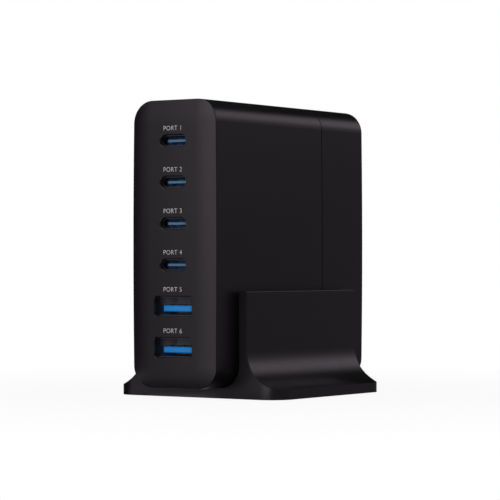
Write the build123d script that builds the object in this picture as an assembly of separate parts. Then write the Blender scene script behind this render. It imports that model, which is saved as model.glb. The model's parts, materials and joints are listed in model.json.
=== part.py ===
from build123d import *
import os
from math import cos, radians, sin, sqrt

# A six-port desktop charger that stands upright in a flared cradle stand.
# Lengths are in millimetres and angles in degrees. The port face looks along -Y, the mains inlet along +Y.
# The origin lies on the table, under the middle of the charger.

# Charger body
body_width = 30.0
body_height = 83.8
body_depth = 80.9
corner_radius = 6.65
side_crown = 0.38
dome_edge_angle = 16.0
dome_radius = 23.5
dome_sections = 5
smallest_corner = 0.3
rim_radius = 0.25
rear_edge_radius = 0.5
wall = 2.0
face_wall = 2.4
rear_wall = 2.0
parting_from_face = 56.9
parting_gap = 0.35
lip_length = 3.0
fit_gap = 0.1
root_overlap = 0.5
select_tolerance = 0.01

# Ports: a column of small oval sockets above wide rectangular ones
port_pitch = 12.0
oval_port_count = 4
wide_port_count = 2
port_gap = 0.1
port_edge = 0.2
port_board_setback = 12.9
insert_gap = 0.05

# Oval sockets
oval_shell_width = 8.94
oval_shell_height = 3.26
oval_shell_wall = 0.3
oval_shell_setback = 1.2
oval_cavity_depth = 6.2
oval_tongue_width = 6.69
oval_tongue_thickness = 0.7
oval_tongue_setback = 2.2
oval_tongue_corner = 0.3
oval_contact_count = 12
oval_contact_pitch = 0.5
oval_contact_width = 0.25
oval_contact_thickness = 0.08
oval_contact_inset = 0.5

# Wide sockets
wide_shell_width = 13.1
wide_shell_height = 5.56
wide_shell_wall = 0.3
wide_shell_corner = 0.6
wide_shell_setback = 1.8
wide_cavity_depth = 8.9
wide_tongue_width = 11.1
wide_tongue_thickness = 1.84
wide_tongue_drop = 0.73
wide_tongue_setback = 2.95
wide_tongue_chamfer = 0.3
wide_contact_width = 1.0
wide_contact_thickness = 0.2
wide_contact_inset = 0.6
wide_contact_inner_offset = 1.0
wide_contact_outer_offset = 3.5
spring_window_length = 2.0
spring_window_height = 0.9
spring_window_setback = 6.8

# Circuit boards and their guides
board_thickness = 1.6
board_edge_gap = 0.3
board_rear_gap = 2.0
rail_width = 1.2
rail_grip = 2.0
ledge_reach = 1.9
ledge_thickness = 1.6
component_gap = 1.0

# Parts on the solder side, from the board to the wall
chip_height = 1.0
chip_side = 8.0
thermal_pad_thickness = 0.5
spreader_thickness = 0.8
film_thickness = 0.3
film_wall_gap = 0.3
spreader_margin = 2.5

# Output side
controller_side = 5.0
controller_height = 0.9
coil_side = 6.0
coil_height = 4.2
coil_corner = 0.8
can_diameter = 6.3
can_height = 8.0
can_edge = 0.4

# Transformer
transformer_length = 22.0
transformer_tall = 24.0
core_thickness = 10.0
core_leg = 3.0
core_yoke = 4.0
core_window = 5.0
former_thickness = 2.0
winding_corner = 2.0
tall_part_gap = 1.5

# Mains side
bulk_count = 2
bulk_diameter = 14.0
bulk_groove_depth = 0.5
bulk_groove_width = 1.0
bulk_groove_from_end = 3.0
bulk_edge = 0.6
bridge_length = 14.0
bridge_thickness = 3.6
bridge_tall = 12.0
safety_disc_diameter = 8.0
safety_disc_edge = 0.8
filter_capacitor_length = 9.0
filter_capacitor_tall = 14.0
filter_capacitor_height = 12.0
filter_capacitor_edge = 0.6
choke_core_outer_radius = 6.0
choke_core_inner_radius = 3.4
choke_core_thickness = 5.5
choke_winding_build = 1.0
choke_winding_span = 130.0
fuse_diameter = 8.2
fuse_height = 7.8
fuse_edge = 0.6
rear_strip_gap = 3.0

# Mains inlet
inlet_from_bottom = 20.0
inlet_pin_spacing = 8.6
inlet_pin_diameter = 2.4
inlet_lobe_diameter = 8.4
inlet_waist_height = 7.0
inlet_cavity_depth = 11.0
inlet_wall = 1.7
inlet_depth = 14.0
inlet_flange = 1.2
inlet_flange_thickness = 1.5
inlet_pin_setback = 1.5
inlet_pin_tip = 0.5
inlet_terminal_length = 2.5
pin_gap = 0.03
wire_diameter = 1.8
wire_first_run = 1.7
wire_second_run = 4.1
wire_bend_radius = 1.2

# Cradle stand
stand_side = 59.0
stand_plan_corner = 6.5
stand_floor_height = 3.1
stand_foot_edge = 3.05
stand_flare_height = 11.4
stand_wall_thickness = 2.7
stand_wall_top = 31.3
stand_wall_edge = 0.25
cradle_gap = 0.85
pad_stand_off = 0.1
pad_recess = 0.8
pad_margin = 2.0
pad_gap = 0.1
pocket_wall = 2.3
pocket_end_margin = 4.5
pocket_rib = 1.6
pocket_count = 4
pocket_edge_margin = 4.0

# Places worked out from the sizes above
face_apex_y = -body_depth / 2
rear_y = body_depth / 2
dome_height = dome_radius * (1 - cos(radians(dome_edge_angle)))
face_rim_y = face_apex_y + dome_height
face_inside_y = face_apex_y + face_wall
rear_inside_y = rear_y - rear_wall
parting_y = face_apex_y + parting_from_face
body_bottom_z = stand_floor_height
body_middle_z = body_bottom_z + body_height / 2
inner_half_width = body_width / 2 - wall
inner_half_height = body_height / 2 - wall

port_count = oval_port_count + wide_port_count
port_heights = [body_middle_z + port_pitch * ((port_count - 1) / 2 - i) for i in range(port_count)]
oval_port_heights = port_heights[:oval_port_count]
wide_port_heights = port_heights[oval_port_count:]
port_board_front_y = face_apex_y + port_board_setback
port_board_back_y = port_board_front_y + board_thickness

solder_stack = chip_height + thermal_pad_thickness + spreader_thickness + film_thickness + film_wall_gap
solder_face_x = -inner_half_width + side_crown + solder_stack
board_face_x = solder_face_x + board_thickness
tall_part_height = inner_half_width - side_crown - tall_part_gap - board_face_x

inlet_z = body_bottom_z + inlet_from_bottom
inlet_lobe_offset = inlet_pin_spacing / 2
inlet_width = inlet_pin_spacing + inlet_lobe_diameter + 2 * inlet_wall
inlet_height = inlet_lobe_diameter + 2 * inlet_wall
inlet_back_y = rear_y - inlet_depth
inlet_terminal_y = inlet_back_y - inlet_terminal_length


def section(inset=0.0):
    """Outline of the body across the depth, moved in from the outer skin by inset."""
    half_width = body_width / 2 - inset
    half_height = body_height / 2 - inset
    end_width = half_width - side_crown
    edges = [
        ThreePointArc((end_width, -half_height), (half_width, 0), (end_width, half_height)),
        Line((end_width, half_height), (-end_width, half_height)),
        ThreePointArc((-end_width, half_height), (-half_width, 0), (-end_width, -half_height)),
        Line((-end_width, -half_height), (end_width, -half_height)),
    ]
    outline = make_face(edges)
    return fillet(outline.vertices(), max(corner_radius - inset, smallest_corner))


def inner_floor_rise(x):
    """How far the inside of the rounded corner stands above the flat inner floor at x."""
    radius = corner_radius - wall
    beyond_flat = max(abs(x) - (inner_half_width - side_crown - radius), 0.0)
    return radius - sqrt(radius**2 - beyond_flat**2)


def facing_front(sketch, y, z=body_middle_z):
    """The sketch stood up in the XZ plane at depth y, with its middle at height z."""
    return Plane(origin=(0, y, z), x_dir=(1, 0, 0), z_dir=(0, -1, 0)) * sketch


def along_depth(sketch, front_y, back_y, z=body_middle_z):
    """The sketch drawn out along the depth from front_y to back_y."""
    return extrude(facing_front(sketch, back_y, z), amount=back_y - front_y)


def block(x, y, z):
    """A box given by its lower and upper limits on each axis."""
    size = [limits[1] - limits[0] for limits in (x, y, z)]
    middle = [(limits[0] + limits[1]) / 2 for limits in (x, y, z)]
    return Pos(*middle) * Box(*size)


def around(middle, length):
    """Lower and upper limits of a length about its middle."""
    return (middle - length / 2, middle + length / 2)


def across(diameter, start_x, height):
    """A cylinder along X that starts at start_x."""
    return Pos(start_x + height / 2, 0, 0) * Rot(0, 90, 0) * Cylinder(diameter / 2, height)


def group(pieces):
    """Separate solids that share one node."""
    return Compound([solid for piece in pieces for solid in piece.solids()])


def oval(width, height):
    """A slot with round ends, as wide and as high as given."""
    return SlotOverall(width, height)


board_edge_z = inner_half_height - inner_floor_rise(solder_face_x) - board_edge_gap
board_bottom_z = body_middle_z - board_edge_z
board_top_z = body_middle_z + board_edge_z
board_rear_y = rear_inside_y - board_rear_gap
notch_front_y = inlet_terminal_y - component_gap
notch_top_z = inlet_z + inlet_height / 2 + inlet_flange + component_gap

coil_y = port_board_back_y + controller_height + component_gap + coil_side / 2
can_y = coil_y + coil_side / 2 + component_gap + can_diameter / 2
power_zone_y = can_y + can_diameter / 2 + component_gap
rear_strip_y = rear_inside_y - rear_strip_gap
top_row_z = board_top_z - rail_grip - component_gap
transformer_top_z = top_row_z - bridge_thickness - component_gap
transformer_y = power_zone_y + transformer_length / 2
transformer_z = transformer_top_z - transformer_tall / 2


def domed_face():
    """The cushion of the port face: outlines that shrink as they rise along an arc."""
    edge_angle = radians(dome_edge_angle)
    outlines = []
    for step in range(dome_sections):
        angle = edge_angle * (1 - step / (dome_sections - 1))
        inset = dome_radius * (sin(edge_angle) - sin(angle))
        rise = dome_radius * (cos(angle) - cos(edge_angle))
        outlines.append(facing_front(section(inset), face_rim_y - rise))
    return loft(outlines)


def rail_pair(front_y, back_y, top):
    """Two ribs on the inner floor or ceiling that hold the main board's edge between them."""
    if top:
        heights = (board_top_z - rail_grip, body_middle_z + body_height / 2)
    else:
        heights = (body_middle_z - body_height / 2, board_bottom_z + rail_grip)
    depth = (front_y, back_y)
    outer = block((solder_face_x - fit_gap - rail_width, solder_face_x - fit_gap), depth, heights)
    inner = block((board_face_x + fit_gap, board_face_x + fit_gap + rail_width), depth, heights)
    inside = along_depth(section(wall - root_overlap), front_y, back_y)
    return [outer & inside, inner & inside]


def port_board_ledges():
    """Ribs on the side walls, between ports, whose ends stop the port board."""
    heights = [
        (port_heights[0] + port_heights[1]) / 2,
        (port_heights[-2] + port_heights[-1]) / 2,
    ]
    inside = along_depth(section(wall - root_overlap), face_inside_y - root_overlap, port_board_front_y)
    ledges = []
    for height in heights:
        for side in (-1, 1):
            reach = sorted((side * (inner_half_width - ledge_reach), side * body_width / 2))
            depth = (face_inside_y - root_overlap, port_board_front_y)
            ledges.append(block(reach, depth, around(height, ledge_thickness)) & inside)
    return ledges


def oval_outline(growth):
    """An oval socket's outline, grown all round."""
    return oval(oval_shell_width + 2 * growth, oval_shell_height + 2 * growth)


def wide_outline(growth):
    """A wide socket's outline, grown all round."""
    return RectangleRounded(
        wide_shell_width + 2 * growth, wide_shell_height + 2 * growth, wide_shell_corner + growth
    )


def port_opening(outline, height):
    """The room that a socket takes out of the face, with a chamfered mouth."""
    mouth = facing_front(outline(port_gap + port_edge), face_apex_y, height)
    throat = facing_front(outline(port_gap), face_apex_y + port_edge, height)
    through = along_depth(outline(port_gap), face_apex_y + port_edge, face_inside_y, height)
    return through + loft([mouth, throat], ruled=True)


def make_front_shell():
    """Moulded sleeve with the domed port face, open towards the rear cover."""
    skin = along_depth(section(), face_rim_y, parting_y) + domed_face()
    rim = skin.edges().filter_by_position(
        Axis.Y, face_rim_y - select_tolerance, face_rim_y + select_tolerance
    )
    shell = fillet(rim, rim_radius)
    shell -= along_depth(section(wall), face_inside_y, parting_y)
    shell -= along_depth(section(wall / 2), parting_y - lip_length, parting_y)
    for height in oval_port_heights:
        shell -= port_opening(oval_outline, height)
    for height in wide_port_heights:
        shell -= port_opening(wide_outline, height)
    rail_end_y = parting_y - lip_length
    ribs = port_board_ledges()
    ribs += rail_pair(port_board_back_y + fit_gap, rail_end_y, top=False)
    ribs += rail_pair(port_board_back_y + fit_gap, rail_end_y, top=True)
    for rib in ribs:
        shell += rib
    return shell


def make_rear_shell():
    """Rear cover: a cup with a lip that slides into the front shell's rebate."""
    front_y = parting_y + parting_gap
    cup = along_depth(section(), front_y, rear_y)
    rear_rim = cup.faces().sort_by(Axis.Y)[-1].edges()
    cup = fillet(rear_rim, rear_edge_radius)
    cup += along_depth(section(wall / 2 + fit_gap), parting_y - lip_length + fit_gap, front_y + rear_wall)
    cup -= along_depth(section(wall), parting_y - lip_length, rear_inside_y)
    opening = RectangleRounded(inlet_width + 2 * fit_gap, inlet_height + 2 * fit_gap, inlet_height / 2)
    cup -= along_depth(opening, rear_inside_y, rear_y, inlet_z)
    for rib in rail_pair(front_y, rear_inside_y, top=True):
        cup += rib
    return cup


def make_oval_shell(height):
    """Drawn metal tube of an oval socket, standing on the port board."""
    tube = oval(oval_shell_width, oval_shell_height)
    tube -= oval(oval_shell_width - 2 * oval_shell_wall, oval_shell_height - 2 * oval_shell_wall)
    return along_depth(tube, face_apex_y + oval_shell_setback, port_board_front_y, height)


def make_oval_insert(height):
    """Moulded base of an oval socket with its centre tongue."""
    inner_width = oval_shell_width - 2 * (oval_shell_wall + insert_gap)
    inner_height = oval_shell_height - 2 * (oval_shell_wall + insert_gap)
    base_y = face_apex_y + oval_shell_setback + oval_cavity_depth
    base = along_depth(oval(inner_width, inner_height), base_y, port_board_front_y, height)
    tip_y = face_apex_y + oval_tongue_setback
    tongue = block(
        around(0, oval_tongue_width), (tip_y, base_y), around(height, oval_tongue_thickness)
    )
    tip_corners = tongue.edges().filter_by(Axis.Z).group_by(Axis.Y)[0]
    return base + fillet(tip_corners, oval_tongue_corner)


def make_oval_contacts(height):
    """Rows of flat contacts on both faces of an oval socket's tongue."""
    front_y = face_apex_y + oval_tongue_setback + oval_contact_inset
    back_y = face_apex_y + oval_shell_setback + oval_cavity_depth
    strips = []
    for side in (-1, 1):
        face_z = height + side * oval_tongue_thickness / 2
        heights = sorted((face_z, face_z + side * oval_contact_thickness))
        for i in range(oval_contact_count):
            x = oval_contact_pitch * (i - (oval_contact_count - 1) / 2)
            strips.append(block(around(x, oval_contact_width), (front_y, back_y), heights))
    return group(strips)


def make_wide_shell(height):
    """Folded metal tube of a wide socket with a spring window in each side."""
    tube = RectangleRounded(wide_shell_width, wide_shell_height, wide_shell_corner)
    tube -= RectangleRounded(
        wide_shell_width - 2 * wide_shell_wall,
        wide_shell_height - 2 * wide_shell_wall,
        wide_shell_corner - wide_shell_wall,
    )
    shell = along_depth(tube, face_apex_y + wide_shell_setback, port_board_front_y, height)
    window_y = face_apex_y + spring_window_setback
    window = block(
        around(0, wide_shell_width),
        (window_y, window_y + spring_window_length),
        around(height, spring_window_height),
    )
    return shell - window


def wide_tongue_middle(height):
    """Height of a wide socket's tongue, which sits below the middle."""
    return height - wide_tongue_drop


def make_wide_insert(height):
    """Moulded base of a wide socket with its single tongue."""
    base_y = face_apex_y + wide_shell_setback + wide_cavity_depth
    base_outline = RectangleRounded(
        wide_shell_width - 2 * (wide_shell_wall + insert_gap),
        wide_shell_height - 2 * (wide_shell_wall + insert_gap),
        wide_shell_corner - wide_shell_wall - insert_gap,
    )
    base = along_depth(base_outline, base_y, port_board_front_y, height)
    tip_y = face_apex_y + wide_tongue_setback
    tongue = block(
        around(0, wide_tongue_width),
        (tip_y, base_y),
        around(wide_tongue_middle(height), wide_tongue_thickness),
    )
    tip_edges = tongue.faces().sort_by(Axis.Y)[0].edges()
    return base + chamfer(tip_edges, wide_tongue_chamfer)


def make_wide_contacts(height):
    """Four flat contacts on top of a wide socket's tongue."""
    front_y = face_apex_y + wide_tongue_setback + wide_contact_inset
    back_y = face_apex_y + wide_shell_setback + wide_cavity_depth
    face_z = wide_tongue_middle(height) + wide_tongue_thickness / 2
    offsets = (wide_contact_inner_offset, wide_contact_outer_offset)
    places = [side * offset for offset in offsets for side in (-1, 1)]
    heights = (face_z, face_z + wide_contact_thickness)
    return group([block(around(x, wide_contact_width), (front_y, back_y), heights) for x in places])


def make_port_board():
    """Upright board behind the face that carries the sockets."""
    return along_depth(section(wall + board_edge_gap), port_board_front_y, port_board_back_y)


def make_main_board():
    """Board along the depth, cut away at the lower rear for the inlet."""
    thickness = (solder_face_x, board_face_x)
    board = block(thickness, (port_board_back_y, board_rear_y), (board_bottom_z, board_top_z))
    return board - block(thickness, (notch_front_y, board_rear_y), (board_bottom_z, notch_top_z))


def make_port_controllers():
    """One control chip behind each port."""
    depth = (port_board_back_y, port_board_back_y + controller_height)
    return group(
        [block(around(0, controller_side), depth, around(z, controller_side)) for z in port_heights]
    )


def make_output_coils():
    """One moulded choke for each port."""
    pieces = []
    for z in port_heights:
        coil = block(
            (board_face_x, board_face_x + coil_height), around(coil_y, coil_side), around(z, coil_side)
        )
        pieces.append(chamfer(coil.edges().filter_by(Axis.X), coil_corner))
    return group(pieces)


def make_output_capacitors():
    """One can capacitor for each port, standing on the main board."""
    pieces = []
    for z in port_heights:
        can = Pos(0, can_y, z) * across(can_diameter, board_face_x, can_height)
        pieces.append(chamfer(can.faces().sort_by(Axis.X)[-1].edges(), can_edge))
    return group(pieces)


def winding_limits():
    """Limits across X of the transformer's winding, from the former to the free height."""
    return (board_face_x + former_thickness, board_face_x + tall_part_height)


def make_transformer_core():
    """Two-window ferrite core with its legs upright."""
    middle_x = sum(winding_limits()) / 2
    thickness = around(middle_x, core_thickness)
    core = block(
        thickness, around(transformer_y, transformer_length), around(transformer_z, transformer_tall)
    )
    window_middle = transformer_length / 2 - core_leg - core_window / 2
    for side in (-1, 1):
        core -= block(
            thickness,
            around(transformer_y + side * window_middle, core_window),
            around(transformer_z, transformer_tall - 2 * core_yoke),
        )
    return core


def make_transformer_winding():
    """Taped winding round the core's middle leg."""
    middle_leg = transformer_length - 2 * (core_leg + core_window)
    winding_tall = transformer_tall - 2 * (core_yoke + fit_gap)
    depth = around(transformer_y, middle_leg + 2 * (core_window - fit_gap))
    winding = block(winding_limits(), depth, around(transformer_z, winding_tall))
    winding = fillet(winding.edges().filter_by(Axis.Z), winding_corner)
    middle_x = sum(winding_limits()) / 2
    leg_room = block(
        around(middle_x, core_thickness + 2 * fit_gap),
        around(transformer_y, middle_leg + 2 * fit_gap),
        around(transformer_z, winding_tall),
    )
    return winding - leg_room


def make_transformer_former():
    """Foot of the coil former, between the board and the winding."""
    return block(
        (board_face_x, board_face_x + former_thickness),
        around(transformer_y, transformer_length),
        around(transformer_z, transformer_tall),
    )


def make_bulk_capacitor(index):
    """Can capacitor lying on the board, with the crimp groove round its sealed end."""
    start_y = power_zone_y
    end_y = notch_front_y - wire_second_run - wire_diameter
    radius = bulk_diameter / 2
    can = Cylinder(radius, end_y - start_y)
    can = chamfer(can.edges().filter_by(GeomType.CIRCLE), bulk_edge)
    ring = Cylinder(radius, bulk_groove_width) - Cylinder(radius - bulk_groove_depth, bulk_groove_width)
    can -= Pos(0, 0, (end_y - start_y) / 2 - bulk_groove_from_end) * ring
    z = board_bottom_z + rail_grip + component_gap + radius + index * (bulk_diameter + component_gap)
    return Pos(board_face_x + radius, (start_y + end_y) / 2, z) * Rot(-90, 0, 0) * can


def make_bridge_rectifier():
    """Flat rectifier block on edge above the transformer."""
    return block(
        (board_face_x, board_face_x + bridge_tall),
        (power_zone_y, power_zone_y + bridge_length),
        (top_row_z - bridge_thickness, top_row_z),
    )


def make_safety_capacitor():
    """Disc capacitor on edge beside the rectifier."""
    disc = Cylinder(safety_disc_diameter / 2, bridge_thickness)
    disc = chamfer(disc.edges().filter_by(GeomType.CIRCLE), safety_disc_edge)
    middle_y = power_zone_y + bridge_length + component_gap + safety_disc_diameter / 2
    middle_z = top_row_z - bridge_thickness / 2
    return Pos(board_face_x + safety_disc_diameter / 2, middle_y, middle_z) * disc


def make_filter_capacitor():
    """Box capacitor across the mains."""
    low_z = notch_top_z + component_gap
    box = block(
        (board_face_x, board_face_x + filter_capacitor_height),
        (rear_strip_y - filter_capacitor_length, rear_strip_y),
        (low_z, low_z + filter_capacitor_tall),
    )
    return chamfer(box.edges().filter_by(Axis.X), filter_capacitor_edge)


def choke_place():
    """Where the ring choke's middle is: on edge on the board, above the filter capacitor."""
    radius = choke_core_outer_radius + choke_winding_build
    thickness = choke_core_thickness + 2 * choke_winding_build
    z = notch_top_z + component_gap + filter_capacitor_tall + component_gap + radius
    return Pos(board_face_x + radius, rear_strip_y - thickness / 2, z) * Rot(-90, 0, 0)


def make_choke_core():
    """Ferrite ring of the line choke."""
    ring = Cylinder(choke_core_outer_radius, choke_core_thickness)
    ring -= Cylinder(choke_core_inner_radius, choke_core_thickness)
    return choke_place() * ring


def make_choke_windings():
    """Two windings on opposite sides of the ring."""
    build = choke_winding_build
    middle_radius = (choke_core_outer_radius + choke_core_inner_radius) / 2
    core_width = choke_core_outer_radius - choke_core_inner_radius
    frame = Rectangle(core_width + 2 * build, choke_core_thickness + 2 * build)
    frame -= Rectangle(core_width + 2 * insert_gap, choke_core_thickness + 2 * insert_gap)
    profile = Plane.XZ * Pos(middle_radius, 0) * frame
    windings = []
    for start_angle in (-choke_winding_span / 2, 180 - choke_winding_span / 2):
        turned = Rot(0, 0, start_angle) * revolve(profile, Axis.Z, choke_winding_span)
        windings.append(choke_place() * turned)
    return group(windings)


def make_fuse():
    """Round plug-in fuse near the top of the mains strip."""
    fuse = across(fuse_diameter, board_face_x, fuse_height)
    fuse = chamfer(fuse.faces().sort_by(Axis.X)[-1].edges(), fuse_edge)
    z = top_row_z - fuse_diameter / 2
    return Pos(0, rear_strip_y - fuse_diameter / 2, z) * fuse


def chip_rows():
    """Depths of the two rows of power chips on the solder side."""
    return (power_zone_y - component_gap - chip_side / 2, transformer_y)


def chip_columns():
    """Heights of the power chips on the solder side."""
    return (transformer_z - chip_side, transformer_z + chip_side)


def make_chips(y):
    """A pair of power chips on the solder side."""
    thickness = (solder_face_x - chip_height, solder_face_x)
    return group([block(thickness, around(y, chip_side), around(z, chip_side)) for z in chip_columns()])


def solder_sheet(start, thickness, margin):
    """A sheet over the power chips, start away from the board and reaching margin beyond them."""
    rows = chip_rows()
    columns = chip_columns()
    half = chip_side / 2 + margin
    outer_x = solder_face_x - start
    return block(
        (outer_x - thickness, outer_x),
        (rows[0] - half, rows[-1] + half),
        (columns[0] - half, columns[-1] + half),
    )


def make_inlet_body():
    """Two-pole mains inlet with a figure-of-eight mouth, fitted from inside the rear cover."""
    front = RectangleRounded(inlet_width, inlet_height, inlet_height / 2 - fit_gap)
    flange = RectangleRounded(
        inlet_width + 2 * inlet_flange, inlet_height + 2 * inlet_flange, inlet_height / 2 - fit_gap
    )
    body = along_depth(front, inlet_back_y, rear_y, inlet_z)
    body += along_depth(flange, rear_inside_y - inlet_flange_thickness, rear_inside_y, inlet_z)
    mouth = Rectangle(inlet_pin_spacing, inlet_waist_height)
    for side in (-1, 1):
        mouth += Pos(side * inlet_lobe_offset, 0) * Circle(inlet_lobe_diameter / 2)
    body -= along_depth(mouth, rear_y - inlet_cavity_depth, rear_y, inlet_z)
    for side in (-1, 1):
        hole = Pos(side * inlet_lobe_offset, 0) * Circle(inlet_pin_diameter / 2 + pin_gap)
        body -= along_depth(hole, inlet_back_y, rear_y, inlet_z)
    return body


def make_inlet_pins():
    """Two round pins that run from the inlet's mouth through to its terminals."""
    pins = []
    for side in (-1, 1):
        outline = Pos(side * inlet_lobe_offset, 0) * Circle(inlet_pin_diameter / 2)
        pin = along_depth(outline, inlet_terminal_y, rear_y - inlet_pin_setback, inlet_z)
        pins.append(chamfer(pin.faces().sort_by(Axis.Y)[-1].edges(), inlet_pin_tip))
    return group(pins)


def make_inlet_wires():
    """Insulated leads from the inlet's terminals to the main board."""
    wires = []
    for side, run in ((-1, wire_first_run), (1, wire_second_run)):
        start = (side * inlet_lobe_offset, inlet_terminal_y, inlet_z)
        corner = (side * inlet_lobe_offset, notch_front_y - run, inlet_z)
        end = (board_face_x, notch_front_y - run, inlet_z)
        path = FilletPolyline(start, corner, end, radius=wire_bend_radius)
        cross_cut = Plane(origin=start, z_dir=(0, -1, 0)) * Circle(wire_diameter / 2)
        wires.append(sweep(cross_cut, path=path))
    return group(wires)


stand_bottom_z = pad_stand_off
cradle_half_width = body_width / 2 + cradle_gap
stand_wall_half_width = cradle_half_width + stand_wall_thickness
stand_half = stand_side / 2
flare_reach = stand_half - stand_wall_half_width
flare_top_z = stand_foot_edge + stand_flare_height
pad_seat_z = stand_bottom_z + pad_recess


def stand_profile():
    """Half of the stand's section: foot edge, concave flare, side wall and cradle floor."""
    edges = Polyline(
        (0, stand_floor_height),
        (0, stand_bottom_z),
        (stand_half, stand_bottom_z),
        (stand_half, stand_foot_edge),
    )
    flare_middle = (stand_half, flare_top_z)
    edges += EllipticalCenterArc(flare_middle, flare_reach, stand_flare_height, start_angle=180, arc_size=90)
    edges += Polyline(
        (stand_wall_half_width, flare_top_z),
        (stand_wall_half_width, stand_wall_top),
        (0, stand_wall_top),
        (0, stand_floor_height),
    )
    return make_face(edges)


def stand_pocket():
    """Section of the hollow under one flare, whose roof follows the flare at the pocket wall's depth."""
    reach = (stand_wall_half_width, stand_half - pocket_edge_margin)
    rise = (pad_seat_z, flare_top_z)
    middle = Pos(sum(reach) / 2, sum(rise) / 2)
    room = middle * Rectangle(reach[1] - reach[0], rise[1] - rise[0])
    hollow_of_flare = Ellipse(flare_reach + pocket_wall, stand_flare_height + pocket_wall)
    return room - Pos(stand_half, flare_top_z) * hollow_of_flare


def both_sides(sketch):
    """The sketch and its mirror image across the middle."""
    return sketch + mirror(sketch, Plane.YZ)


def make_stand():
    """One moulded cradle: flared foot, two side walls, pockets and a pad seat underneath."""
    stand = along_depth(both_sides(stand_profile()), -stand_half, stand_half, 0)
    plan = extrude(RectangleRounded(stand_side, stand_side, stand_plan_corner), amount=stand_wall_top)
    stand &= plan
    cradle_height = stand_wall_top - stand_floor_height + corner_radius
    cradle = RectangleRounded(2 * cradle_half_width, cradle_height, corner_radius)
    stand -= along_depth(cradle, -stand_half, stand_half, stand_floor_height + cradle_height / 2)
    wall_tops = stand.faces().filter_by(Axis.Z).sort_by(Axis.Z)[-2:]
    stand = fillet([edge for top in wall_tops for edge in top.edges()], stand_wall_edge)
    seat_side = stand_side - 2 * pad_margin
    seat = RectangleRounded(seat_side, seat_side, stand_plan_corner - pad_margin)
    stand -= Pos(0, 0, stand_bottom_z) * extrude(seat, amount=pad_recess)
    run = stand_side - 2 * pocket_end_margin
    pocket_length = (run - (pocket_count - 1) * pocket_rib) / pocket_count
    pockets = both_sides(stand_pocket())
    for i in range(pocket_count):
        start_y = -run / 2 + i * (pocket_length + pocket_rib)
        stand -= along_depth(pockets, start_y, start_y + pocket_length, 0)
    return stand


def make_stand_pad():
    """Anti-slip sheet let into the underside of the stand."""
    side = stand_side - 2 * (pad_margin + pad_gap)
    sheet = RectangleRounded(side, side, stand_plan_corner - pad_margin - pad_gap)
    return extrude(sheet, amount=pad_seat_z)


nodes = {
    "front_shell": make_front_shell(),
    "rear_shell": make_rear_shell(),
    "stand": make_stand(),
    "stand_pad": make_stand_pad(),
    "port_board": make_port_board(),
    "main_board": make_main_board(),
    "port_controllers": make_port_controllers(),
    "output_coils": make_output_coils(),
    "output_capacitors": make_output_capacitors(),
    "transformer_core": make_transformer_core(),
    "transformer_winding": make_transformer_winding(),
    "transformer_former": make_transformer_former(),
    "bridge_rectifier": make_bridge_rectifier(),
    "safety_capacitor": make_safety_capacitor(),
    "filter_capacitor": make_filter_capacitor(),
    "line_choke_core": make_choke_core(),
    "line_choke_windings": make_choke_windings(),
    "fuse": make_fuse(),
    "rectifier_chips": make_chips(chip_rows()[0]),
    "switch_chips": make_chips(chip_rows()[1]),
    "thermal_pad": solder_sheet(chip_height, thermal_pad_thickness, 0),
    "heat_spreader": solder_sheet(chip_height + thermal_pad_thickness, spreader_thickness, spreader_margin),
    "insulating_film": solder_sheet(
        chip_height + thermal_pad_thickness + spreader_thickness, film_thickness, spreader_margin
    ),
    "inlet_body": make_inlet_body(),
    "inlet_pins": make_inlet_pins(),
    "inlet_wires": make_inlet_wires(),
}
for i in range(bulk_count):
    nodes[f"bulk_capacitor_{i + 1}"] = make_bulk_capacitor(i)
for i, height in enumerate(oval_port_heights):
    nodes[f"type_c_shell_{i + 1}"] = make_oval_shell(height)
    nodes[f"type_c_insert_{i + 1}"] = make_oval_insert(height)
    nodes[f"type_c_contacts_{i + 1}"] = make_oval_contacts(height)
for i, height in enumerate(wide_port_heights):
    nodes[f"type_a_shell_{i + 1}"] = make_wide_shell(height)
    nodes[f"type_a_insert_{i + 1}"] = make_wide_insert(height)
    nodes[f"type_a_contacts_{i + 1}"] = make_wide_contacts(height)

os.makedirs("parts", exist_ok=True)
for name, shape in nodes.items():
    export_step(shape, f"parts/{name}.step")
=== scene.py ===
import json
from math import atan2, cos, degrees, pi, radians, sin, tan

import bpy
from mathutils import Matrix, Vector


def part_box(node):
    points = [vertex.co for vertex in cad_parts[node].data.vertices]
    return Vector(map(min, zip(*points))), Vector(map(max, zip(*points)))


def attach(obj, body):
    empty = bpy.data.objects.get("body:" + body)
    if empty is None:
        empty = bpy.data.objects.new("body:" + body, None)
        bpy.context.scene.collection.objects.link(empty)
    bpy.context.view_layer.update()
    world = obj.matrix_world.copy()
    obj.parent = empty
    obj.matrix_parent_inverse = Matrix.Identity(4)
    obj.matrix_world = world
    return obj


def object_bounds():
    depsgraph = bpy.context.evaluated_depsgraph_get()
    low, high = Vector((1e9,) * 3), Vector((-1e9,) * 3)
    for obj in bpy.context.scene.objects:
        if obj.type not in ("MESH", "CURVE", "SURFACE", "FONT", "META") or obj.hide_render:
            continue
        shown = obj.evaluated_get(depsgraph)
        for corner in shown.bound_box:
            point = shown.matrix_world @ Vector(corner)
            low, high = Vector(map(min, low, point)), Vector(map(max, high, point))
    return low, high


# Looks of a six-port desktop charger in its cradle stand.
# Lengths are in metres. Grains, patches and socket depths of the materials are in millimetres.
# Angles are in degrees.
# The port face looks along -Y and +Z is up.

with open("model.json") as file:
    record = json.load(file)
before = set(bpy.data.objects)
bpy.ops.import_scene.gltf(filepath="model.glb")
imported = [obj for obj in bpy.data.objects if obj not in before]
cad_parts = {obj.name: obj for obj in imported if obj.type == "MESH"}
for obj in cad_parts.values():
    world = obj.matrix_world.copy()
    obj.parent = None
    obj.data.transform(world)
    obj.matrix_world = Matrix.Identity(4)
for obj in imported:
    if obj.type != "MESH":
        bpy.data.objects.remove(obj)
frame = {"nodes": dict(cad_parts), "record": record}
cad_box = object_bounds()
nodes = frame["nodes"]

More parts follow.
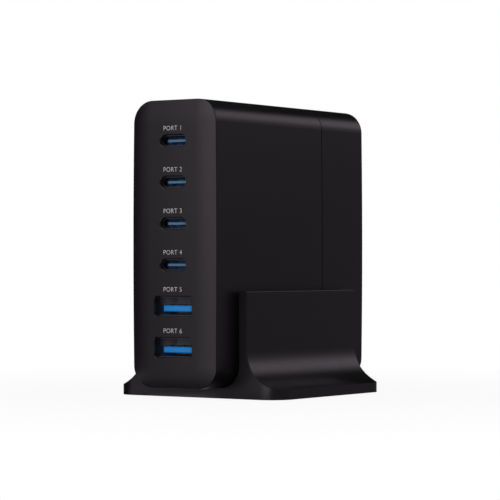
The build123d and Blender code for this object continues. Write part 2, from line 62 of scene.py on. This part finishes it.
MM = 0.001
BODY = "root"
OVAL_PORTS = 4
WIDE_PORTS = 2

# Camera, about level with the charger's middle and turned to its right
PICTURE_SIDE = 500
FOCAL_PIXELS = 2309.6
SENSOR_WIDTH = 36.0
CAMERA_AZIMUTH = 34.26
CAMERA_PLACE = (0.39485, -0.58035, 0.0395)
CAMERA_CLIP = (0.01, 100.0)
HORIZON_BELOW_MIDDLE = 13.16

# Printed marks above the ports
MARK_CAP_HEIGHT = 1.34 * MM
MARK_CAP_SHARE = 0.70
MARK_SPACING = 1.08
MARK_THINNING = 0.02 * MM
MARK_INK = 0.02 * MM
MARK_ABOVE_OVAL = 3.66 * MM
MARK_ABOVE_WIDE = 4.93 * MM
INK_COLOUR = (0.55, 0.54, 0.55)
INK_ROUGHNESS = 0.6
INK_GRAIN = 0.08

# Moulded plastic
BLACK = (0.0047, 0.0041, 0.0047)
STAND_BLACK = (0.0058, 0.0050, 0.0058)
SATIN = 0.32
STAND_GRAIN = 0.16
MOULD_GRAIN = 0.14
MOULD_GRAIN_DEPTH = 0.004 * MM
FINE_GRAIN_DEPTH = 0.001 * MM
GRAIN_DETAIL = 1.0
PATCH_DETAIL = 2.0
COLOUR_PATCH = 7.0
COLOUR_VARIATION = 0.12
GLOSS_PATCH = 2.5
GLOSS_VARIATION = 0.03
FACE_CROWN_SLOPE = 0.030
FACE_CROWN_HALF = 17.0
RUBBER_COLOUR = (0.02, 0.02, 0.02)
RUBBER_ROUGHNESS = 0.8
RUBBER_GRAIN = 0.3
RUBBER_GRAIN_DEPTH = 0.02 * MM

# Metal, with fine lines drawn out along the depth or the height
LINE_WIDTH = 0.12
LINE_DETAIL = 3.0
LINE_DEPTH = 0.002 * MM
LINES_DEEP = (1.0, 0.05, 1.0)
LINES_UP = (1.0, 1.0, 0.05)
METAL_PATCH = 1.5
METAL_VARIATION = 0.1
METAL_GLOSS_VARIATION = 0.06

# Sockets: walls and cavities are counted from the port face, the base's colour from the cavity's end,
# and the tongue's top from the socket's middle
SOCKET_ROUGHNESS = 0.36
SOCKET_PATCH = 1.0
SOCKET_VARIATION = 0.15
SOCKET_INNER_METALLIC = 0.3
INSERT_ROUGHNESS = 0.4
INSERT_SPECULAR = 0.2
INSERT_PATCH = 2.0
INSERT_VARIATION = 0.1
BASE_COLOUR_STARTS = 0.3
BASE_COLOUR_FULL = 0.1
TONGUE_TOP = 0.3
WIDE_EDGE = (0.10, 0.10, 0.11)
WIDE_WALL = (0.28, 0.28, 0.31)
# Blue of the wide sockets' walls below the tongue: a painted reflection of the blue tongue in the steel
WIDE_WALL_PAINTED_TONGUE_REFLECTION = (0.02, 0.14, 0.34)
WIDE_WALL_DEPTHS = (2.0, 6.0)
WIDE_TONGUE = (0.02, 0.26, 0.72)
WIDE_BASE = (0.21, 0.21, 0.23)
WIDE_CAVITY = 10.7
OVAL_EDGE = (0.08, 0.075, 0.08)
# Blue of the oval sockets' steel walls: a painted reflection of the blue insert
OVAL_WALL_PAINTED_REFLECTION = (0.09, 0.26, 0.48)
OVAL_WALL_DEPTHS = (2.4, 4.6)
OVAL_TONGUE = (0.10, 0.19, 0.32)
OVAL_BASE = (0.06, 0.20, 0.42)
OVAL_CAVITY = 7.4

# Other moulded or coated pieces: colour and roughness
COATED_LOOKS = {
    "board": ((0.02, 0.12, 0.05), 0.4),
    "chip_plastic": ((0.02, 0.02, 0.02), 0.5),
    "ferrite": ((0.05, 0.05, 0.055), 0.6),
    "winding_tape": ((0.75, 0.6, 0.12), 0.4),
    "disc_coating": ((0.05, 0.2, 0.5), 0.3),
    "filter_box": ((0.75, 0.65, 0.1), 0.35),
    "thermal_rubber": ((0.45, 0.5, 0.55), 0.7),
    "film": ((0.8, 0.78, 0.7), 0.4),
    "inlet_plastic": ((0.012, 0.012, 0.012), 0.45),
    "wire_sleeve": ((0.03, 0.03, 0.03), 0.6),
    "can_sleeve": ((0.03, 0.03, 0.04), 0.35),
}

# Other metal pieces: colour, roughness and the way the lines run
METAL_LOOKS = {
    "can_metal": ((0.7, 0.7, 0.72), 0.35, LINES_UP),
    "copper": ((0.7, 0.35, 0.18), 0.3, LINES_DEEP),
    "spreader_metal": ((0.75, 0.75, 0.76), 0.4, LINES_DEEP),
    "pin_metal": ((0.75, 0.74, 0.72), 0.25, LINES_DEEP),
    "contact_metal": ((0.10, 0.09, 0.07), 0.4, LINES_DEEP),
}

# Studio
FLOOR_SIZE = 60.0
FLOOR_COLOUR = (0.9, 0.9, 0.9)
FLOOR_ROUGHNESS = 0.9
FLOOR_WHITE_NEAR = 0.92
FLOOR_FADE = (0.05, 0.20)
WORLD_LEVEL = 0.35
KEY_AZIMUTH = 30.0
KEY_ELEVATION = 16.0
KEY_DISTANCE = 1.2
KEY_SIZE = 0.8
KEY_WATTS = 7.0

# Dark room of cards round the charger, which only mirrored rays see
ROOM_RADIUS = 1.6
ROOM_RISE = 54.0
EYE_HEIGHT = 0.04
CARD_STEP = 2.0
CARD_TINT = (1.0, 0.88, 1.0)
FLOOR_CARD_LIFT = 0.1 * MM
FLOOR_RINGS = (
    0.0, 0.03, 0.035, 0.038, 0.041, 0.045, 0.05, 0.06, 0.07, 0.08, 0.10, 0.12, 0.16, 0.30, ROOM_RADIUS
)

# Glow of the cards, named after what mirrors it: a strength, then levels by azimuth,
# then levels by elevation on the wall or by distance on the floor
WALL_PATCHES = {
    "port face": (
        1.40,
        ((-60, 0), (-50, 0.22), (-36, 0.42), (-14, 1), (10, 1), (30, 0.1), (42, 0)),
        ((-2, 1), (6, 1), (30, 1.2), (54, 1)),
    ),
    "side": (
        0.44,
        ((36, 0), (50, 0.6), (86, 1), (116, 1), (150, 0.8), (178, 0)),
        ((-2, 0.2), (2, 0.25), (16, 1), (26, 1), (36, 0)),
    ),
    "top edge and flare": (
        0.80,
        ((138, 0), (150, 1), (165, 1), (174, 0)),
        ((11, 0), (20, 1), (28, 1), (37, 0)),
    ),
}
FLOOR_PATCHES = {
    "port face": (
        0.90,
        ((-54, 0), (-44, 0.06), (-34, 0.25), (-24, 0.5), (-14, 0.82), (12, 1), (30, 0.15), (42, 0)),
        ((0, 0.1), (0.05, 0.1), (0.09, 0.52), (ROOM_RADIUS, 0.5)),
    ),
    "foot corner and low port face": (
        2.00,
        ((-40, 0), (-32, 0.11), (10, 0.13), (18, 0.5), (24, 1), (31, 1), (36, 0)),
        ((0.045, 0), (0.06, 1), (0.08, 1), (0.12, 0)),
    ),
    "foot front": (
        1.20,
        ((-46, 0), (-38, 1), (1, 1), (15, 0)),
        ((0.026, 1), (0.033, 1), (0.038, 0)),
    ),
    "foot left end": (
        0.42,
        ((-44, 0), (-39, 1), (-34, 1), (-27, 0)),
        ((0.035, 0), (0.045, 1), (0.07, 1), (0.11, 0)),
    ),
    "side": (
        0.13,
        ((30, 0), (46, 1), (165, 1), (180, 0)),
        ((0, 1), (ROOM_RADIUS, 1)),
    ),
    "back": (
        0.70,
        ((158, 0), (172, 1), (180, 1)),
        ((0.12, 0), (0.25, 1), (ROOM_RADIUS, 1)),
    ),
    "left side": (
        0.70,
        ((-180, 1), (-94, 1), (-80, 0)),
        ((0.12, 0), (0.25, 1), (ROOM_RADIUS, 1)),
    ),
}


def link(tree, source, target):
    """Joins two sockets."""
    tree.links.new(source, target)


def new_material(name):
    """A material with a principled shader, its node tree and that shader."""
    material = bpy.data.materials.new(name)
    material.use_nodes = True
    tree = material.node_tree
    tree.nodes.clear()
    output = tree.nodes.new("ShaderNodeOutputMaterial")
    shader = tree.nodes.new("ShaderNodeBsdfPrincipled")
    link(tree, shader.outputs["BSDF"], output.inputs["Surface"])
    return material, tree, shader


def part_place(tree, stretch=(1.0, 1.0, 1.0)):
    """The point on the part in millimetres, stretched along each axis."""
    place = tree.nodes.new("ShaderNodeTexCoord")
    scale = tree.nodes.new("ShaderNodeMapping")
    scale.inputs["Scale"].default_value = [share / MM for share in stretch]
    link(tree, place.outputs["Object"], scale.inputs["Vector"])
    return scale.outputs["Vector"]


def part_axis(tree, axis):
    """The place on the part along one axis, in millimetres."""
    split = tree.nodes.new("ShaderNodeSeparateXYZ")
    link(tree, part_place(tree), split.inputs["Vector"])
    return split.outputs[axis]


def noise(tree, grain, detail=PATCH_DETAIL, stretch=(1.0, 1.0, 1.0)):
    """Noise whose features are about grain millimetres across."""
    texture = tree.nodes.new("ShaderNodeTexNoise")
    texture.inputs["Scale"].default_value = 1.0 / grain
    texture.inputs["Detail"].default_value = detail
    link(tree, part_place(tree, stretch), texture.inputs["Vector"])
    return texture.outputs[0]


def spread(tree, factor, low, high):
    """A factor from 0 to 1 brought to the range from low to high."""
    node = tree.nodes.new("ShaderNodeMapRange")
    node.inputs["To Min"].default_value = low
    node.inputs["To Max"].default_value = high
    link(tree, factor, node.inputs["Value"])
    return node.outputs["Result"]


def shade(tree, factor, dark, light):
    """A colour between dark and light."""
    ramp = tree.nodes.new("ShaderNodeValToRGB")
    ramp.color_ramp.elements[0].color = (*dark, 1.0)
    ramp.color_ramp.elements[1].color = (*light, 1.0)
    link(tree, factor, ramp.inputs["Fac"])
    return ramp.outputs["Color"]


def blend(tree, factor, first, second):
    """The first colour where the factor is 0 and the second where it is 1."""
    mix = tree.nodes.new("ShaderNodeMix")
    mix.data_type = "RGBA"
    link(tree, factor, mix.inputs[0])
    link(tree, first, mix.inputs[6])
    link(tree, second, mix.inputs[7])
    return mix.outputs[2]


def calculate(tree, operation, value, number=0.0):
    """One step of arithmetic with a fixed number."""
    node = tree.nodes.new("ShaderNodeMath")
    node.operation = operation
    node.inputs[1].default_value = number
    link(tree, value, node.inputs[0])
    return node.outputs["Value"]


def roughen(tree, shader, height, depth):
    """Bump of the given depth in metres."""
    node = tree.nodes.new("ShaderNodeBump")
    node.inputs["Strength"].default_value = 1.0
    node.inputs["Distance"].default_value = depth
    link(tree, height, node.inputs["Height"])
    link(tree, node.outputs["Normal"], shader.inputs["Normal"])


def tones(colour, share):
    """A darker and a lighter tone of a colour."""
    dark = [c * (1 - share) for c in colour]
    light = [min(c * (1 + share), 1.0) for c in colour]
    return dark, light


def moulded_plastic(name, colour, roughness, grain=MOULD_GRAIN, depth=MOULD_GRAIN_DEPTH):
    """Moulded plastic with a fine spark-eroded grain and slightly uneven gloss."""
    material, tree, shader = new_material(name)
    gloss = (roughness - GLOSS_VARIATION, roughness + GLOSS_VARIATION)
    colours = tones(colour, COLOUR_VARIATION)
    link(tree, shade(tree, noise(tree, COLOUR_PATCH), *colours), shader.inputs["Base Color"])
    link(tree, spread(tree, noise(tree, GLOSS_PATCH), *gloss), shader.inputs["Roughness"])
    roughen(tree, shader, noise(tree, grain, detail=GRAIN_DETAIL), depth)
    return material, shader


def metal(name, colour, roughness, stretch):
    """Plated or drawn metal with fine lines along one direction."""
    material, tree, shader = new_material(name)
    lines = noise(tree, LINE_WIDTH, detail=LINE_DETAIL, stretch=stretch)
    gloss = (roughness - METAL_GLOSS_VARIATION, roughness + METAL_GLOSS_VARIATION)
    colours = tones(colour, METAL_VARIATION)
    shader.inputs["Metallic"].default_value = 1.0
    link(tree, shade(tree, noise(tree, METAL_PATCH), *colours), shader.inputs["Base Color"])
    link(tree, spread(tree, lines, *gloss), shader.inputs["Roughness"])
    roughen(tree, shader, lines, LINE_DEPTH)
    return material, shader


def middle_height(node):
    """Height of a node's middle."""
    low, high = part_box(node)
    return (low.z + high.z) / 2


def body_black():
    """Satin black housing, whose flat faces have a very slight crown across their width."""
    material, shader = moulded_plastic("body_black", BLACK, SATIN)
    tree = material.node_tree
    turn = calculate(tree, "MULTIPLY", part_axis(tree, "X"), pi / FACE_CROWN_HALF)
    wave = calculate(tree, "COSINE", turn)
    rise = calculate(tree, "MULTIPLY", wave, FACE_CROWN_SLOPE * FACE_CROWN_HALF / pi)
    crown = tree.nodes.new("ShaderNodeBump")
    crown.inputs["Distance"].default_value = MM
    link(tree, rise, crown.inputs["Height"])
    grain = shader.inputs["Normal"].links[0].from_node
    link(tree, crown.outputs["Normal"], grain.inputs["Normal"])
    return material


def stand_black():
    """Satin black stand."""
    return moulded_plastic("stand_black", STAND_BLACK, SATIN, grain=STAND_GRAIN)[0]


def pad_rubber():
    """Matt anti-slip rubber."""
    return moulded_plastic("pad_rubber", RUBBER_COLOUR, RUBBER_ROUGHNESS, RUBBER_GRAIN, RUBBER_GRAIN_DEPTH)[0]


def print_ink():
    """Pale grey pad-printed ink."""
    return moulded_plastic("print_ink", INK_COLOUR, INK_ROUGHNESS, INK_GRAIN, FINE_GRAIN_DEPTH)[0]


def depth_step(tree, near, far):
    """0 up to a near depth behind the port face, rising to 1 at a far one."""
    step = tree.nodes.new("ShaderNodeMapRange")
    step.inputs["From Min"].default_value = cad_box[0].y / MM + near
    step.inputs["From Max"].default_value = cad_box[0].y / MM + far
    link(tree, part_axis(tree, "Y"), step.inputs["Value"])
    return step.outputs["Result"]


def under_tongue(tree):
    """1 in the lower part of each wide socket, below its tongue's top, where the tongue's reflection is
    painted.
    """
    middles = [middle_height(f"type_a_shell_{i + 1}") / MM for i in range(WIDE_PORTS)]
    pitch = abs(middles[0] - middles[1])
    above_low_end = calculate(tree, "SUBTRACT", part_axis(tree, "Z"), min(middles) - pitch / 2)
    within_one = calculate(tree, "MODULO", above_low_end, pitch)
    return calculate(tree, "LESS_THAN", within_one, pitch / 2 + TONGUE_TOP)


def socket_insert(name, tongue, base, cavity):
    """Moulded socket insert: a coloured tongue and a base at the given depth behind the port face."""
    material, shader = moulded_plastic(name, tongue, INSERT_ROUGHNESS, depth=FINE_GRAIN_DEPTH)
    tree = material.node_tree
    near = shader.inputs["Base Color"].links[0].from_socket
    far = shade(tree, noise(tree, INSERT_PATCH), *tones(base, INSERT_VARIATION))
    behind = depth_step(tree, cavity - BASE_COLOUR_STARTS, cavity - BASE_COLOUR_FULL)
    link(tree, blend(tree, behind, near, far), shader.inputs["Base Color"])
    shader.inputs["Specular IOR Level"].default_value = INSERT_SPECULAR
    return material


def socket_steel(name, edge, wall_and_painted_reflection, wall_depths, painted_tongue_reflection=None):
    """Dark plated socket shell: metal edge, then duller walls in a colour that can hold a painted reflection
    of the blue insert, and maybe the tongue's painted reflection low down.
    """
    material, shader = metal(name, edge, SOCKET_ROUGHNESS, LINES_DEEP)
    tree = material.node_tree
    near = shader.inputs["Base Color"].links[0].from_socket
    # Wall colour of the steel; in the oval sockets its blue is a painted reflection of the insert
    walls = shade(tree, noise(tree, SOCKET_PATCH), *tones(wall_and_painted_reflection, SOCKET_VARIATION))
    # Below the tongue the walls take a painted reflection of the blue tongue
    if painted_tongue_reflection:
        low = shade(tree, noise(tree, SOCKET_PATCH), *tones(painted_tongue_reflection, SOCKET_VARIATION))
        walls = blend(tree, under_tongue(tree), walls, low)
    behind = depth_step(tree, *wall_depths)
    link(tree, blend(tree, behind, near, walls), shader.inputs["Base Color"])
    link(tree, spread(tree, behind, 1.0, SOCKET_INNER_METALLIC), shader.inputs["Metallic"])
    return material


def slot_looks():
    """A material for each of the record's slots."""
    looks = {slot: moulded_plastic(slot, *look)[0] for slot, look in COATED_LOOKS.items()}
    for slot, look in METAL_LOOKS.items():
        looks[slot] = metal(slot, *look)[0]
    looks["body_plastic"] = body_black()
    looks["stand_plastic"] = stand_black()
    looks["pad_rubber"] = pad_rubber()
    looks["socket_steel"] = socket_steel("wide_steel", WIDE_EDGE, WIDE_WALL, WIDE_WALL_DEPTHS, WIDE_WALL_PAINTED_TONGUE_REFLECTION)
    looks["tongue_blue"] = socket_insert("wide_insert", WIDE_TONGUE, WIDE_BASE, WIDE_CAVITY)
    return looks


def oval_looks():
    """Materials that differ in the oval sockets."""
    return {
        "socket_steel": socket_steel("oval_steel", OVAL_EDGE, OVAL_WALL_PAINTED_REFLECTION, OVAL_WALL_DEPTHS),
        "tongue_blue": socket_insert("oval_insert", OVAL_TONGUE, OVAL_BASE, OVAL_CAVITY),
    }


def dress_nodes():
    """Gives each CAD node the material of its slot."""
    common = slot_looks()
    oval = common | oval_looks()
    for subpart in frame["record"]["subparts"]:
        looks = oval if subpart["node"].startswith("type_c") else common
        mesh = nodes[subpart["node"]].data
        mesh.materials.clear()
        mesh.materials.append(looks[subpart["material_slot"]])


def new_object(name, data):
    """An object in the scene."""
    made = bpy.data.objects.new(name, data)
    bpy.context.scene.collection.objects.link(made)
    return made


def printed_mark(number, height, ink):
    """A port's number, printed flat on the port face and centred at the given height."""
    name = f"port_mark_{number}"
    curve = bpy.data.curves.new(name, "FONT")
    curve.body = f"PORT {number}"
    curve.size = MARK_CAP_HEIGHT / MARK_CAP_SHARE
    curve.align_x = "CENTER"
    curve.space_character = MARK_SPACING
    curve.offset = -MARK_THINNING
    curve.extrude = MARK_INK / 2
    words = new_object(name + "_outline", curve)
    mesh = bpy.data.meshes.new_from_object(words.evaluated_get(bpy.context.evaluated_depsgraph_get()))
    bpy.data.objects.remove(words)
    mark = new_object(name, mesh)
    mark.rotation_euler = (pi / 2, 0, 0)
    mark.location = (0, cad_box[0].y, height - MARK_CAP_HEIGHT / 2)
    mesh.materials.clear()
    mesh.materials.append(ink)
    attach(mark, BODY)


def print_marks():
    """Numbers the ports from the top down."""
    ink = print_ink()
    for i in range(OVAL_PORTS):
        printed_mark(i + 1, middle_height(f"type_c_shell_{i + 1}") + MARK_ABOVE_OVAL, ink)
    for i in range(WIDE_PORTS):
        printed_mark(OVAL_PORTS + i + 1, middle_height(f"type_a_shell_{i + 1}") + MARK_ABOVE_WIDE, ink)


def background_rays(tree):
    """1 for rays that show the background: straight from the camera, mirrored or through glass."""
    path = tree.nodes.new("ShaderNodeLightPath")
    seen = path.outputs["Is Camera Ray"]
    for kind in ("Is Glossy Ray", "Is Transmission Ray"):
        larger = tree.nodes.new("ShaderNodeMath")
        larger.operation = "MAXIMUM"
        link(tree, seen, larger.inputs[0])
        link(tree, path.outputs[kind], larger.inputs[1])
        seen = larger.outputs["Value"]
    return seen


def white_world():
    """White to look at, and a plain soft light on the object."""
    world = bpy.data.worlds.new("studio")
    bpy.context.scene.world = world
    world.use_nodes = True
    tree = world.node_tree
    tree.nodes.clear()
    output = tree.nodes.new("ShaderNodeOutputWorld")
    light = tree.nodes.new("ShaderNodeBackground")
    light.inputs["Strength"].default_value = WORLD_LEVEL
    white = tree.nodes.new("ShaderNodeBackground")
    mix = tree.nodes.new("ShaderNodeMixShader")
    for background in (light, white):
        background.inputs["Color"].default_value = (1.0, 1.0, 1.0, 1.0)
    link(tree, background_rays(tree), mix.inputs["Fac"])
    link(tree, light.outputs["Background"], mix.inputs[1])
    link(tree, white.outputs["Background"], mix.inputs[2])
    link(tree, mix.outputs["Shader"], output.inputs["Surface"])


def floor_white():
    """Pale matt surface, white to the camera and a little less so near the charger, for its shadow."""
    material, tree, shader = new_material("floor_white")
    output = tree.nodes["Material Output"]
    shader.inputs["Base Color"].default_value = (*FLOOR_COLOUR, 1.0)
    shader.inputs["Roughness"].default_value = FLOOR_ROUGHNESS
    shader.inputs["Specular IOR Level"].default_value = 0.0
    glow = tree.nodes.new("ShaderNodeEmission")
    place = tree.nodes.new("ShaderNodeNewGeometry")
    reach = tree.nodes.new("ShaderNodeVectorMath")
    reach.operation = "LENGTH"
    fade = tree.nodes.new("ShaderNodeMapRange")
    fade.inputs["From Min"].default_value = FLOOR_FADE[0]
    fade.inputs["From Max"].default_value = FLOOR_FADE[1]
    fade.inputs["To Min"].default_value = FLOOR_WHITE_NEAR
    share = tree.nodes.new("ShaderNodeMath")
    share.operation = "MULTIPLY"
    mix = tree.nodes.new("ShaderNodeMixShader")
    link(tree, place.outputs["Position"], reach.inputs[0])
    link(tree, reach.outputs["Value"], fade.inputs["Value"])
    link(tree, background_rays(tree), share.inputs[0])
    link(tree, fade.outputs["Result"], share.inputs[1])
    link(tree, share.outputs["Value"], mix.inputs["Fac"])
    link(tree, shader.outputs["BSDF"], mix.inputs[1])
    link(tree, glow.outputs["Emission"], mix.inputs[2])
    link(tree, mix.outputs["Shader"], output.inputs["Surface"])
    return material


def pale_floor():
    """A pale floor that looks white and keeps a faint shadow."""
    half = FLOOR_SIZE / 2
    mesh = bpy.data.meshes.new("floor")
    corners = [(-half, -half, 0), (half, -half, 0), (half, half, 0), (-half, half, 0)]
    mesh.from_pydata(corners, [], [(0, 1, 2, 3)])
    mesh.materials.append(floor_white())
    new_object("floor", mesh)


def direction(azimuth, elevation=0.0):
    """Unit vector towards an azimuth, counted from -Y towards +X, and an elevation."""
    turn, rise = radians(azimuth), radians(elevation)
    return Vector((sin(turn) * cos(rise), -cos(turn) * cos(rise), sin(rise)))


def reflections_only(thing):
    """Shows an object to mirrored rays alone."""
    thing.visible_camera = False
    thing.visible_diffuse = False
    thing.visible_shadow = False
    thing.visible_transmission = False
    thing.visible_volume_scatter = False


def card_surface():
    """A surface that glows as much as its points say."""
    material = bpy.data.materials.new("card")
    material.use_nodes = True
    tree = material.node_tree
    tree.nodes.clear()
    output = tree.nodes.new("ShaderNodeOutputMaterial")
    glow = tree.nodes.new("ShaderNodeEmission")
    glow.inputs["Color"].default_value = (*CARD_TINT, 1.0)
    level = tree.nodes.new("ShaderNodeAttribute")
    level.attribute_name = "glow"
    link(tree, level.outputs["Fac"], glow.inputs["Strength"])
    link(tree, glow.outputs["Emission"], output.inputs["Surface"])
    return material


def level_at(place, steps):
    """Level at a place along (place, level) steps that are joined smoothly, and 0 beyond them."""
    for (start, first), (end, last) in zip(steps, steps[1:]):
        if start <= place <= end:
            share = (place - start) / (end - start)
            return first + (last - first) * share * share * (3 - 2 * share)
    return 0.0


def glow_at(azimuth, along, patches):
    """Sum of the patches' glow at a place on a card."""
    glow = 0.0
    for strength, turn, run in patches.values():
        glow += strength * level_at(azimuth, turn) * level_at(along, run)
    return glow


def painted_card(name, azimuths, alongs, point_at, patches, surface):
    """A card round the charger that only mirrored rays see, with a glow for each of its points."""
    places = [(azimuth, along) for azimuth in azimuths for along in alongs]
    rows = len(alongs)
    faces = []
    for column in range(len(azimuths) - 1):
        for row in range(rows - 1):
            corner = column * rows + row
            faces.append((corner, corner + rows, corner + rows + 1, corner + 1))
    mesh = bpy.data.meshes.new(name)
    mesh.from_pydata([point_at(*place) for place in places], [], faces)
    levels = [glow_at(*place, patches) for place in places]
    mesh.attributes.new("glow", "FLOAT", "POINT").data.foreach_set("value", levels)
    mesh.materials.append(surface)
    card = new_object(name, mesh)
    reflections_only(card)


def even_steps(low, high, step):
    """Places from low to high, about a step apart."""
    count = round((high - low) / step)
    return [low + (high - low) * i / count for i in range(count + 1)]


def wall_point(azimuth, elevation):
    """Place on the room's wall, as seen from the charger's middle."""
    height = EYE_HEIGHT + ROOM_RADIUS * tan(radians(elevation))
    return direction(azimuth) * ROOM_RADIUS + Vector((0, 0, height))


def floor_point(azimuth, distance):
    """Place just above the floor."""
    return direction(azimuth) * distance + Vector((0, 0, FLOOR_CARD_LIFT))


def dark_room():
    """Dark cards all round and on the floor with patches of glow, as a studio shapes reflections on black."""
    surface = card_surface()
    all_round = even_steps(-180.0, 180.0, CARD_STEP)
    floor_drop = -degrees(atan2(EYE_HEIGHT, ROOM_RADIUS))
    rises = even_steps(floor_drop, ROOM_RISE, CARD_STEP)
    painted_card("wall_card", all_round, rises, wall_point, WALL_PATCHES, surface)
    painted_card("floor_card", all_round, FLOOR_RINGS, floor_point, FLOOR_PATCHES, surface)


def key_lamp():
    """A soft square lamp that shines at the charger's middle and isn't mirrored."""
    data = bpy.data.lights.new("key", "AREA")
    data.shape = "SQUARE"
    data.size = KEY_SIZE
    data.energy = KEY_WATTS
    lamp = new_object("key", data)
    away = direction(KEY_AZIMUTH, KEY_ELEVATION)
    lamp.location = (cad_box[0] + cad_box[1]) / 2 + away * KEY_DISTANCE
    lamp.rotation_euler = away.to_track_quat("Z", "Y").to_euler()
    lamp.visible_camera = False
    lamp.visible_glossy = False


def photo_camera():
    """A level camera at the photograph's place, shifted to its framing."""
    data = bpy.data.cameras.new("camera")
    data.sensor_width = SENSOR_WIDTH
    data.lens = FOCAL_PIXELS / PICTURE_SIDE * SENSOR_WIDTH
    data.shift_y = HORIZON_BELOW_MIDDLE / PICTURE_SIDE
    data.clip_start, data.clip_end = CAMERA_CLIP
    camera = new_object("camera", data)
    camera.location = CAMERA_PLACE
    camera.rotation_euler = (pi / 2, 0, radians(CAMERA_AZIMUTH))
    bpy.context.scene.camera = camera


dress_nodes()
print_marks()
white_world()
pale_floor()
dark_room()
key_lamp()
photo_camera()
bpy.context.scene.view_settings.view_transform = "Standard"
